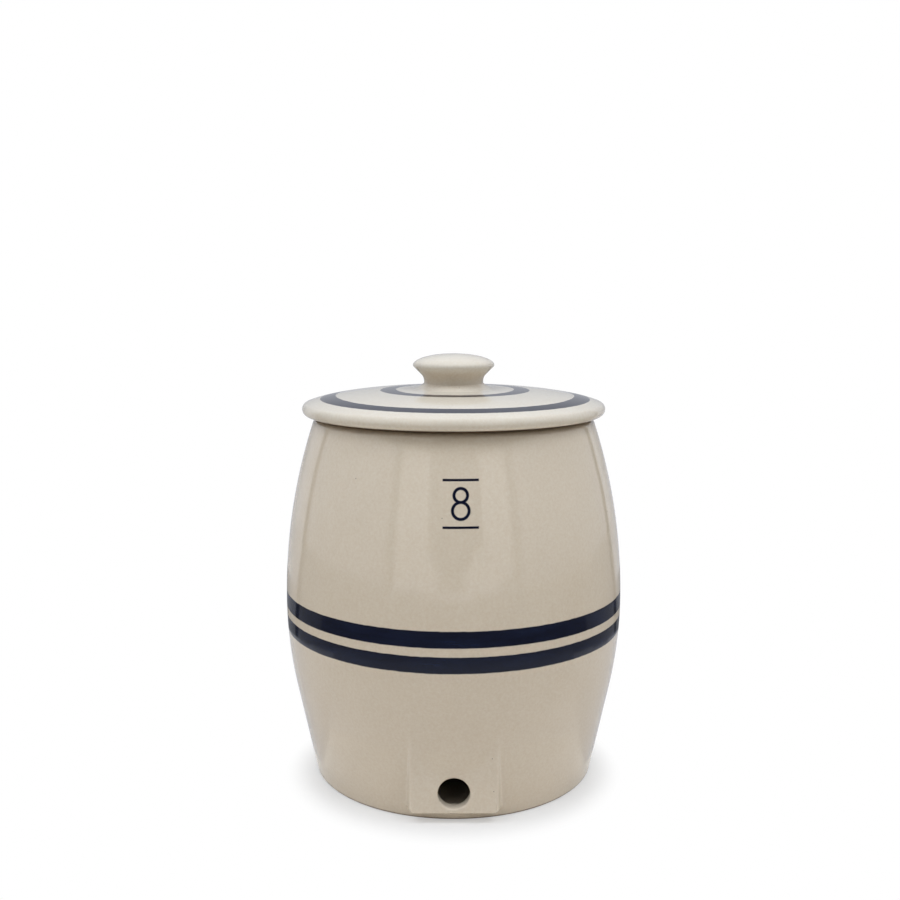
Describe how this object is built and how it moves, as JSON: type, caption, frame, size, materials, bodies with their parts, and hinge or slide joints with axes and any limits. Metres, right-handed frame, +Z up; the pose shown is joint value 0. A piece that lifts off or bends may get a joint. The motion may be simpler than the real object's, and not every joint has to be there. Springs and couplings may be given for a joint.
{
  "type": "stoneware beverage keg",
  "caption": "Barrel-shaped glazed stoneware keg for drinks, with blue bands, a loose domed lid with a knob, and a flat pad with a tap hole near the base.",
  "frame": {"origin": "middle of the foot, on the surface that the keg stands on", "axes": "+Z up along the barrel's axis, -Y out of the tap pad, +X to the right of someone facing the tap pad"},
  "size_m": [0.234, 0.234, 0.2913],
  "materials": {
    "keg_glaze": "glossy warm cream stoneware glaze with cobalt blue bands",
    "lid_glaze": "glossy warm cream stoneware glaze with cobalt blue rings"
  },
  "bodies": {
    "keg": {"keg_body": "keg_glaze"},
    "lid": {"lid": "lid_glaze"}
  },
  "joints": [
    {"name": "lid_lift", "type": "slide", "parent": "keg", "child": "lid", "axis": [0, 0, 1], "range_m": [0, 0.12]}
  ]
}
